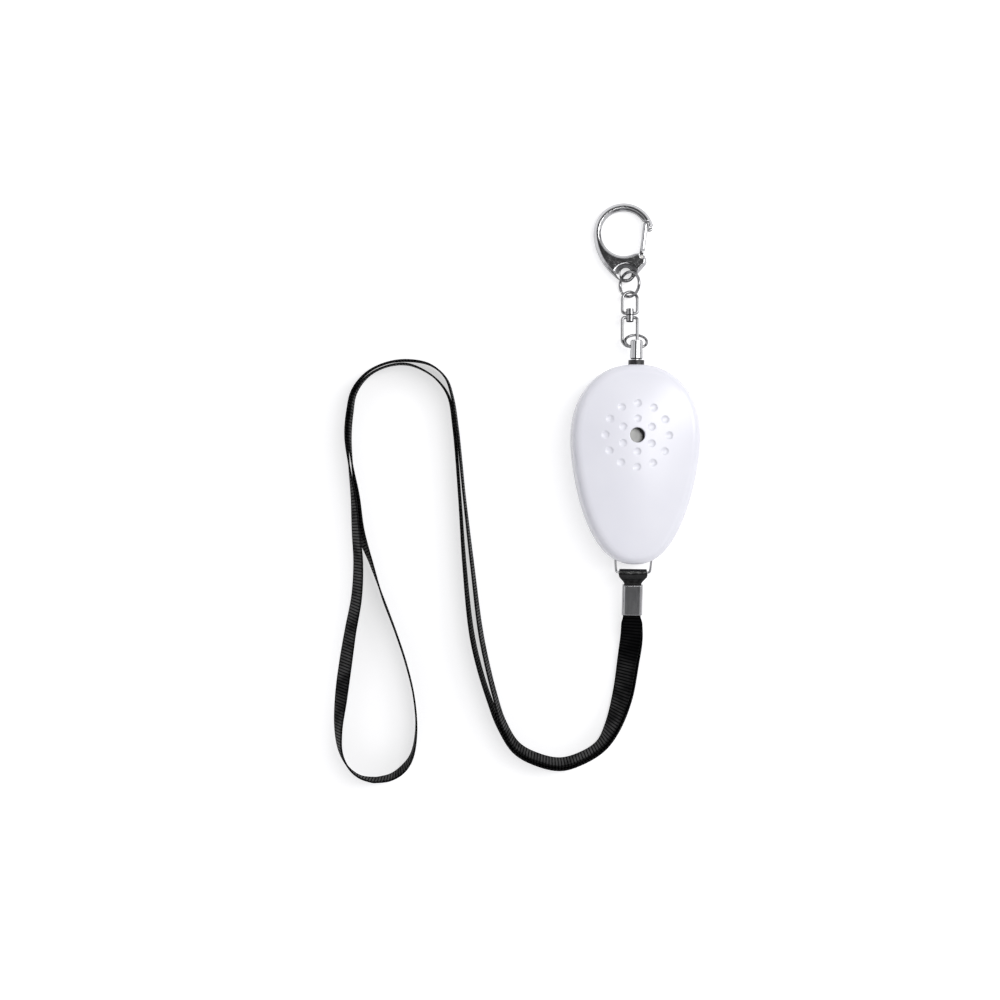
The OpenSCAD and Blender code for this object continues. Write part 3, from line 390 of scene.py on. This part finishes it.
def strand_points(hand, own):
    """A strand's points and tilts from inside the crimp: hand is 1 for the outer strand, -1 for the inner."""
    shared = np.array(SHARED_ROUTE, float)
    normal = ribbon_axes(shared[:, :3], shared[:, 3])[1]
    shared[:, :3] += hand * (PAIR_GAP + shared[:, 4:]) / 2 * normal
    lift = hand * (STRAP_T + CRIMP_GAP) / 2 * STRAP_UP
    head = [[*(CRIMP_END + out * STRAP_DIR + lift), 0.0] for out in (STRAND_FROM, STRAND_OUT)]
    return np.vstack([head, shared[:, :4], np.array(own, float)])


def mix(a, b, t, start, end):
    """The point at t on the way from a at start to b at end."""
    return (end - t) / (end - start) * a + (t - start) / (end - start) * b


def distances(path):
    """Length along a path at each of its points."""
    return np.concatenate([[0.0], np.cumsum(np.linalg.norm(np.diff(path, axis=0), axis=1))])


def smooth_route(points, beyond, step):
    """Catmull-Rom through the points, sampled evenly; the last stretch heads for the point beyond."""
    p = np.vstack([2 * points[0] - points[1], points, beyond])
    out = []
    for i in range(1, len(p) - 2):
        p0, p1, p2, p3 = p[i - 1:i + 3]
        gaps = np.linalg.norm(np.diff(p[i - 1:i + 3, :3], axis=0), axis=1)
        t0, t1, t2, t3 = 0.0, *np.cumsum(np.maximum(gaps, LEAST_GAP) ** 0.5)
        n = max(4, int(gaps[1] / ROUTE_SAMPLE))
        for t in np.linspace(t1, t2, n, endpoint=False):
            a1, a2, a3 = mix(p0, p1, t, t0, t1), mix(p1, p2, t, t1, t2), mix(p2, p3, t, t2, t3)
            b1, b2 = mix(a1, a2, t, t0, t2), mix(a2, a3, t, t1, t3)
            out.append(mix(b1, b2, t, t1, t2))
    out.append(p[-2])
    out = np.array(out)
    s = distances(out[:, :3])
    even = np.append(np.arange(0.0, s[-1], step), s[-1])
    return np.column_stack([np.interp(even, s, out[:, k]) for k in range(4)]), even


RIB_STEP = RIB_PITCH / 4
RIB_DEPTH = 0.1
SELVEDGE = 0.5
SELVEDGE_RISE = 0.6
PLEAT = 0.12
PLEATS = 3
BACK_U = 2.0
PATH_EVERY = 12

# Points across one face, as shares of the half width
ACROSS = [-0.985, -0.9, -0.6, -0.2, 0.2, 0.6, 0.9, 0.985]

# How a strand opens out of the crimp: the start and length of each change along it
FLARE = (2.5, 3.0)
FLARE_SHARE = 0.3
SPREAD = (4.0, 19.0)
PLEAT_RISE = (1.5, 1.5)
PLEAT_FADE = (5.0, 8.0)


def ribbed(s):
    """Height of the ribs at a length along the ribbon."""
    return np.abs(np.sin(math.pi * s / RIB_PITCH)) * RIB_DEPTH


def ribbon_uv(x, face, s):
    return x * 0.5 + 0.5 + (0.0 if face >= 0 else BACK_U), s * UV_PER_MM


def ribbon_mesh(name, points, other):
    """A strand that ends half way to the last point of the other; also its path and length in metres."""
    end = np.array(other[-1], float)
    end[3] = 180.0 - end[3]
    route, s = smooth_route(np.vstack([points, (points[-1] + end) / 2]), end, RIB_STEP)
    wide, normal = ribbon_axes(route[:, :3], route[:, 3])
    gather = FLARE_SHARE * rise(s, *FLARE) + (1.0 - FLARE_SHARE) * rise(s, *SPREAD)
    width = CRIMP_IN_W + (STRAP_W - CRIMP_IN_W) * gather
    pleats = PLEAT * rise(s, *PLEAT_RISE) * (1.0 - rise(s, *PLEAT_FADE))
    rib = ribbed(s)
    section = [(x, 1) for x in reversed(ACROSS)] + [(-1.0, 0)] + [(x, -1) for x in ACROSS] + [(1.0, 0)]
    rows, uvs = [], []
    for i in range(len(s)):
        for x, face in section:
            inside = abs(x) < 1.0 - SELVEDGE / STRAP_W * 2
            t = face * (STRAP_T / 2 - RIB_DEPTH + (rib[i] if inside else RIB_DEPTH * SELVEDGE_RISE))
            t += pleats[i] * math.cos(PLEATS * math.pi * x)
            rows.append((route[i, :3] + wide[i] * x * width[i] / 2 + normal[i] * t) * MM)
            uvs.append(ribbon_uv(x, face, s[i]))
    faces = ring_faces(len(s), len(section), closed_ends=True)
    obj = mesh_object(name, rows, faces, RIBBON, RIBBON_SHARP, uvs)
    return obj, route[::PATH_EVERY, :3] * MM, s[-1] * MM


for strand, hand, own, other in (("lanyard_outer_strand", 1, OUTER_ROUTE, INNER_ROUTE),
                                 ("lanyard_inner_strand", -1, INNER_ROUTE, OUTER_ROUTE)):
    piece, path, length = ribbon_mesh(strand.replace("strand", "ribbon"), strand_points(hand, own), other)
    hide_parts(strand)
    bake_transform(piece)


# Case shells, in millimetres: the egg outline is two superellipse halves that meet on the widest line
CASE_W = 45.0
CASE_L = 70.0
CASE_T = 19.0
NOSE_L = 26.0
NOSE_Y = CASE_L / 2
WIDEST_Y = NOSE_Y - NOSE_L
NOSE_BOW = 2.2
SIDE_BOW = 2.35
TAIL_BOW = 1.6
WALL = 1.8
EDGE_R = 4.0
FILLET_END = 80.0
DRAFT = 0.25
CROWN = 1.6
BACK_R = 3.0
INNER_BACK_R = 1.6
BACK_INSET = 8.0
BACK_MIDDLE_Y = 5.0

# Seam: its lip, and the rounded edge of its groove as inset and distance from the seam
SEAM_Z = 9.5
LIP = WALL / 2
LIP_H = 1.2
LIP_PLAY = 0.1
GROOVE = 0.3
SEAM_EDGE = [(GROOVE, 0.0), (0.06, GROOVE * 0.8), (0.0, GROOVE + 0.15)]

# Sound hole and dimples
HOLE_FROM_NOSE = 25.0
FACE = np.array([0.0, NOSE_Y - HOLE_FROM_NOSE])
HOLE_R = 2.6
HOLE_EDGE = 0.3
DIMPLE_D = 2.7
DIMPLE_DEPTH = 0.5
DIMPLE_FLAT = 3.5
DIMPLE_SOFT = 0.03
DIMPLE_RINGS = [(5.7, 6), (11.0, 12)]
FIELD_R = 13.2
FIELD_STEP = 0.14
DIMPLES = np.array([
    [r * math.cos(rad(90 + 360 / count * i)), r * math.sin(rad(90 + 360 / count * i))]
    for r, count in DIMPLE_RINGS
    for i in range(count)
])
RAYS = 480
RAY_SAMPLES = 6001


def egg(a):
    c, s = np.cos(a), np.sin(a)
    nose = s >= 0
    x = CASE_W / 2 * np.sign(c) * np.where(nose, np.abs(c) ** (2 / NOSE_BOW), np.abs(c) ** (2 / SIDE_BOW))
    tail_y = -(CASE_L - NOSE_L) * np.abs(s) ** (2 / TAIL_BOW)
    y = WIDEST_Y + np.where(nose, NOSE_L * np.abs(s) ** (2 / NOSE_BOW), tail_y)
    return np.column_stack([x, y])


def inward(a):
    d = egg(a + rad(1)) - egg(a - rad(1))
    d /= np.linalg.norm(d, axis=1)[:, None]
    return np.column_stack([-d[:, 1], d[:, 0]])


def even_rays(inset):
    """Outline parameters whose inset points lie at even angles round the sound hole."""
    a = np.linspace(-math.pi / 2, 1.5 * math.pi, RAY_SAMPLES)
    q = egg(a) + inset * inward(a) - FACE
    turn = np.unwrap(np.arctan2(q[:, 1], q[:, 0]))
    want = np.linspace(turn[0], turn[0] + 2 * math.pi, RAYS, endpoint=False)
    return np.interp(want, turn, a)


FACE_INSET = DRAFT + EDGE_R * (1 - math.cos(rad(FILLET_END)))
RAY_A = even_rays(FACE_INSET)
RAY_EDGE = egg(RAY_A) + FACE_INSET * inward(RAY_A) - FACE
RAY_L = np.linalg.norm(RAY_EDGE, axis=1)
RAY_U = RAY_EDGE / RAY_L[:, None]


def egg_level(inset, z):
    p = egg(RAY_A) + inset * inward(RAY_A)
    return np.column_stack([p, np.full(RAYS, z)])


def fillet(inset, z, r, angles, up):
    """Rings round an edge that curves in from an inset at height z, upwards or downwards."""
    return [egg_level(inset + r * (1 - math.cos(rad(a))), z + up * r * math.sin(rad(a))) for a in angles]


def face_level(r, top, dents):
    """A ring at distances r from the sound hole on the crowned face, with or without the dimples."""
    p = RAY_U * r[:, None]
    z = top - CROWN * (r / RAY_L) ** 2
    if dents:
        d = np.linalg.norm(p[:, None, :] - DIMPLES[None], axis=2).min(1)
        cap = DIMPLE_DEPTH * (1.0 - (2.0 * d / DIMPLE_D) ** DIMPLE_FLAT)
        z = z - (cap + np.sqrt(cap ** 2 + DIMPLE_SOFT ** 2)) / 2 * (d < DIMPLE_D)
    return np.column_stack([FACE + p, z])


def front_rings():
    """From the hole out along the inside, over the lip, up the side and back over the face to the hole."""
    side_z = CASE_T - CROWN - EDGE_R * math.sin(rad(FILLET_END))
    rim_z = SEAM_Z + LIP_H
    rings = [face_level(HOLE_R + (RAY_L - HOLE_R) * f, CASE_T - WALL, False) for f in (0.0, 0.35, 0.7, 0.95)]
    rings += fillet(WALL + DRAFT, side_z, EDGE_R - WALL, range(int(FILLET_END), -1, -20), 1)
    rings += [egg_level(inset, z) for inset, z in ((WALL, rim_z), (LIP, rim_z), (LIP, SEAM_Z))]
    rings += [egg_level(inset, SEAM_Z + away) for inset, away in SEAM_EDGE]
    rings += fillet(DRAFT, side_z, EDGE_R, np.linspace(0, FILLET_END, 17), 1)
    rings += [face_level(RAY_L + (FIELD_R - RAY_L) * f, CASE_T, True) for f in np.linspace(0.0, 1.0, 25)[1:]]
    for r in np.arange(FIELD_R - FIELD_STEP, HOLE_R + HOLE_EDGE, -FIELD_STEP):
        rings.append(face_level(np.full(RAYS, r), CASE_T, True))
    for a in np.linspace(0, 90, 6):
        ring = face_level(np.full(RAYS, HOLE_R + HOLE_EDGE * (1 - math.sin(rad(a)))), CASE_T, False)
        ring[:, 2] -= HOLE_EDGE * (1 - math.cos(rad(a)))
        rings.append(ring)
    return rings


def rear_rings():
    """From the flat back out, up the side to the seam, over the lip and down to the inside of the back."""
    rim = LIP + LIP_PLAY
    rim_z = SEAM_Z + LIP_H - LIP_PLAY
    rings = [egg_level(BACK_R + (BACK_INSET - BACK_R) * f, 0.0) for f in (1.0, 0.5)]
    rings += fillet(0.0, BACK_R, BACK_R, np.linspace(90, 0, 13), -1)
    rings += [egg_level(inset, SEAM_Z - away) for inset, away in reversed(SEAM_EDGE)]
    rings += [egg_level(inset, z) for inset, z in ((rim, SEAM_Z), (rim, rim_z), (WALL, rim_z))]
    rings += fillet(WALL, WALL + INNER_BACK_R, INNER_BACK_R, (0, 30, 60, 90), -1)
    rings.append(egg_level(BACK_INSET, WALL))
    return rings


def cut(obj, tools):
    """Cuts the tools out of obj for good and deletes them."""
    for tool in tools:
        modifier = obj.modifiers.new("cut", "BOOLEAN")
        modifier.operation = "DIFFERENCE"
        modifier.solver = "EXACT"
        modifier.object = tool
    bpy.context.view_layer.update()
    graph = bpy.context.evaluated_depsgraph_get()
    mesh = bpy.data.meshes.new_from_object(obj.evaluated_get(graph))
    old = obj.data
    obj.modifiers.clear()
    obj.data = mesh
    bpy.data.meshes.remove(old)
    for tool in tools:
        bpy.data.objects.remove(tool)


ROD_SIDES = 48
LATHE_SIDES = 64


def circle_turns(n):
    return np.linspace(0, 2 * math.pi, n, endpoint=False)


def rod(name, p0, p1, r):
    """Closed round bar between two points, in millimetres."""
    p0, p1 = np.array(p0, float), np.array(p1, float)
    axis = (p1 - p0) / np.linalg.norm(p1 - p0)
    u = np.cross(axis, [0.0, 0.0, 1.0] if abs(axis[2]) < 0.9 else [1.0, 0.0, 0.0])
    u /= np.linalg.norm(u)
    v = np.cross(axis, u)
    turn = circle_turns(ROD_SIDES)
    circle = np.cos(turn)[:, None] * u + np.sin(turn)[:, None] * v
    points = np.vstack([p0 + r * circle, p1 + r * circle]) * MM
    return mesh_object(name, points, ring_faces(2, ROD_SIDES, closed_ends=True), WHITE)


def lathe(name, profile, place):
    """Closed profile of (radius, height) turned about Z at a place, in millimetres."""
    turn = circle_turns(LATHE_SIDES)
    rows = [np.column_stack([r * np.cos(turn), r * np.sin(turn), np.full(LATHE_SIDES, z)]) + place
            for r, z in profile]
    return mesh_object(name, np.vstack(rows) * MM, ring_faces(len(rows), LATHE_SIDES, wrap=True), WHITE)


# Holes through the seam: the socket's barrel and collar, and the bail's two arms
BARREL_R = 2.25
BARREL_Y = 29.0
COLLAR_R = 2.85
COLLAR_Y = 34.7
SOCKET_END_Y = 40.0
ARM_X = 6.705
ARM_START = 0.73
ARM_LEAN = 5.0
ARM_HOLE_R = 0.7
ARM_HOLE = (-0.8, 9.0)


def seam_tools():
    tools = [
        rod("cut_barrel", (0, BARREL_Y, SEAM_Z), (0, SOCKET_END_Y, SEAM_Z), BARREL_R),
        rod("cut_collar", (0, COLLAR_Y, SEAM_Z), (0, SOCKET_END_Y, SEAM_Z), COLLAR_R),
    ]
    for side in (-1, 1):
        start = BAIL_ROOT + np.array([side * ARM_X, 0.0, 0.0]) + ARM_START * STRAP_DIR
        arm = np.array([-side * math.sin(rad(ARM_LEAN)), 0.0, 0.0]) + math.cos(rad(ARM_LEAN)) * STRAP_DIR
        tools.append(rod("cut_bail", start + ARM_HOLE[0] * arm, start + ARM_HOLE[1] * arm, ARM_HOLE_R))
    return tools


# Screws from the back: places, the holes for head and shank, and the post round them
SCREWS = [(13.5, 22.0), (-13.5, 22.0), (0.0, -27.0)]
HEAD_HOLE_R = 2.2
HEAD_HOLE_Z = (-1.0, 3.0)
SCREW_SEAT = 4.2
SHANK_HOLE_R = 1.3
POST_R = 3.0
POST_FOOT_R = 2.5
POST_FOOT_Z = 0.3
POST_SIDE_Z = 0.9
POST_PROFILE = [
    (HEAD_HOLE_R, POST_FOOT_Z), (HEAD_HOLE_R, SCREW_SEAT), (SHANK_HOLE_R, SCREW_SEAT), (SHANK_HOLE_R, SEAM_Z),
    (POST_R, SEAM_Z), (POST_R, POST_SIDE_Z), (POST_FOOT_R, POST_FOOT_Z),
]


def front_shell():
    rings = front_rings()
    faces = ring_faces(len(rings), RAYS, wrap=True)
    shell = mesh_object("front_shell_case", np.vstack(rings) * MM, faces, WHITE)
    cut(shell, seam_tools())
    return shell


def rear_shell():
    rings = rear_rings()
    faces = ring_faces(len(rings), RAYS)
    middle = len(rings) * RAYS
    last = middle - RAYS
    for i in range(RAYS):
        j = (i + 1) % RAYS
        faces.append((middle, j, i))
        faces.append((middle + 1, last + i, last + j))
    points = np.vstack(rings + [[[0.0, BACK_MIDDLE_Y, 0.0], [0.0, BACK_MIDDLE_Y, WALL]]])
    shell = mesh_object("rear_shell_case", points * MM, faces, WHITE)
    low, high = HEAD_HOLE_Z
    cut(shell, seam_tools() + [rod("cut_screw", (x, y, low), (x, y, high), HEAD_HOLE_R) for x, y in SCREWS])
    return shell


front = front_shell()
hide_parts("front_shell")
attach(front, "case")

rear = rear_shell()
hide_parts("rear_shell")
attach(rear, "case")

for i, (x, y) in enumerate(SCREWS):
    post = lathe(f"screw_post_{i}", POST_PROFILE, (x, y, 0.0))
    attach(post, "case")


# Ribbon wrapped round the bail's bar and gathered into the crimp, along y from the bar, in millimetres
FOLD_R = 0.9
FOLD_TAIL = 0.4
FOLD_TUCK = 3.0
FOLD_IN_W = 5.9
FOLD_DRAW_IN = 0.5
FOLD_PLEAT = 0.1
FOLD_ACROSS = np.linspace(-1, 1, 25)

# Start and length of each change along the fold
FOLD_PINCH = (0.7, 1.8)
FOLD_OPEN = (0.2 - FOLD_L, 3.6)
FOLD_ROUND = (-0.2, 1.1)
FOLD_PLEATED = (-7.0, 2.0)


def fold_path():
    """The middle of the ribbon as (y, z): out of the crimp, round the bar and back in."""
    def side(y):
        return FOLD_R - (FOLD_R - FOLD_TAIL) * rise(y, *FOLD_PINCH)

    path = [(-FOLD_L - FOLD_TUCK, FOLD_TAIL)]
    path += [(-y, side(y)) for y in np.linspace(FOLD_L, 0, 28)]
    path += [(FOLD_R * math.sin(rad(a)), FOLD_R * math.cos(rad(a))) for a in np.linspace(0, 180, 17)[1:-1]]
    path += [(-y, -side(y)) for y in np.linspace(0, FOLD_L, 28)]
    path += [(-FOLD_L - FOLD_TUCK, -FOLD_TAIL)]
    return np.array(path)


def fold_mesh():
    path = fold_path()
    s = distances(path)
    fine = np.arange(0.0, s[-1], RIB_STEP)
    path = np.column_stack([np.interp(fine, s, path[:, 0]), np.interp(fine, s, path[:, 1])])
    tangent = np.gradient(path, axis=0)
    tangent /= np.linalg.norm(tangent, axis=1)[:, None]
    normal = np.column_stack([-tangent[:, 1], tangent[:, 0]])
    slope = Matrix.Rotation(rad(STRAP_SLOPE), 3, "X")
    bar = Vector(tuple(BAR))
    rib = ribbed(fine)
    rows, uvs = [], []
    for i, (y, z) in enumerate(path):
        opened = rise(y, *FOLD_OPEN)
        width = FOLD_IN_W + (STRAP_W - FOLD_IN_W) * opened - FOLD_DRAW_IN * rise(y, *FOLD_ROUND)
        depth = FOLD_PLEAT * (1 - opened) * np.clip((y - FOLD_PLEATED[0]) / FOLD_PLEATED[1], 0, 1)
        for face in (1, -1):
            for x in FOLD_ACROSS[::face]:
                pleat = depth * math.cos(PLEATS * math.pi * x)
                t = face * (STRAP_T / 2 - RIB_DEPTH + rib[i]) + pleat * (1 if z > 0 else -1)
                p = Vector((x * width / 2, y + normal[i, 0] * t, z + normal[i, 1] * t))
                rows.append((bar + slope @ p) * MM)
                uvs.append(ribbon_uv(x, face, fine[i]))
    faces = ring_faces(len(path), 2 * len(FOLD_ACROSS), closed_ends=True)
    return mesh_object("strap_fold_ribbon", rows, faces, GATHERED, RIBBON_SHARP, uvs)


fold = fold_mesh()
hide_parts("strap_fold")
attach(fold, "lanyard_end")

for node in nodes.values():
    node.data.polygons.foreach_set("use_smooth", [True] * len(node.data.polygons))
    node.data.set_sharp_from_angle(angle=rad(NODE_SHARP))


# Floor, in metres: pale, and lifted to white where the camera or a reflection sees it
FLOOR_HALF = 3.0
FLOOR_Z = -0.0002
FLOOR_LIFT = 0.58
FLOOR_CORNERS = [(x * FLOOR_HALF, y * FLOOR_HALF, FLOOR_Z) for x, y in ((-1, -1), (1, -1), (1, 1), (-1, 1))]


def pale_floor():
    m = Nodes("pale_floor")
    m.set(Base_Color=(0.62, 0.62, 0.63, 1.0), Roughness=0.9, Specular_IOR_Level=0.1)
    rays = m.add("ShaderNodeLightPath").outputs
    seen = m.calc("MAXIMUM", rays["Is Camera Ray"], rays["Is Glossy Ray"])
    shown = m.calc("MAXIMUM", seen, rays["Is Transmission Ray"])
    glow = m.add("ShaderNodeEmission")
    m.link(m.calc("MULTIPLY", shown, FLOOR_LIFT), glow, "Strength")
    both = m.add("ShaderNodeAddShader")
    m.link(m.shader.outputs[0], both, 0)
    m.link(glow.outputs[0], both, 1)
    m.link(both.outputs[0], m.tree.nodes["Material Output"], "Surface")
    return m.mat


floor = mesh_object("floor", FLOOR_CORNERS, [(0, 1, 2, 3)], pale_floor())

# Surroundings by height: white behind the floor, dark above that, a bright band, and dark overhead
BAND = [
    (0.0, 1.1), (0.16, 1.1), (0.20, 0.10), (0.30, 0.12),
    (0.40, 0.98), (0.72, 1.08), (0.85, 0.40), (0.95, 0.05),
]
BAND_BLUE = 1.02
WORLD_STRENGTH = 0.79
SIDE_X = 0.8
LEFT_SHARE = 1.2
RIGHT_SHARE = 0.95


def studio_world():
    world = bpy.data.worlds.new("studio")
    world.use_nodes = True
    tree = world.node_tree
    background = tree.nodes["Background"]
    place = tree.nodes.new("ShaderNodeTexCoord")
    split = tree.nodes.new("ShaderNodeSeparateXYZ")
    ramp = tree.nodes.new("ShaderNodeValToRGB")
    while len(ramp.color_ramp.elements) < len(BAND):
        ramp.color_ramp.elements.new(0.5)
    for element, (height, level) in zip(ramp.color_ramp.elements, BAND):
        element.position = height
        element.color = (level, level, level * BAND_BLUE, 1)
    side = tree.nodes.new("ShaderNodeMapRange")
    side.inputs["From Min"].default_value = -SIDE_X
    side.inputs["From Max"].default_value = SIDE_X
    side.inputs["To Min"].default_value = LEFT_SHARE * WORLD_STRENGTH
    side.inputs["To Max"].default_value = RIGHT_SHARE * WORLD_STRENGTH
    tree.links.new(place.outputs["Generated"], split.inputs[0])
    tree.links.new(split.outputs["Z"], ramp.inputs["Fac"])
    tree.links.new(split.outputs["X"], side.inputs["Value"])
    tree.links.new(ramp.outputs["Color"], background.inputs["Color"])
    tree.links.new(side.outputs["Result"], background.inputs["Strength"])
    return world


def area_light(name, at, size, watts):
    """A rectangular lamp that faces the origin, in metres."""
    data = bpy.data.lights.new(name, "AREA")
    data.shape = "RECTANGLE"
    data.size, data.size_y = size
    data.energy = watts
    obj = bpy.data.objects.new(name, data)
    scene.collection.objects.link(obj)
    obj.location = at
    obj.rotation_euler = (-Vector(at)).to_track_quat("-Z", "Y").to_euler()


scene.world = studio_world()
area_light("softbox_top", (0.36, 0.2, 1.2), (0.33, 0.62), 4.2)
area_light("key_right", (0.9, 0.35, 0.75), (0.5, 0.7), 5.0)

scene.view_settings.view_transform = "Standard"
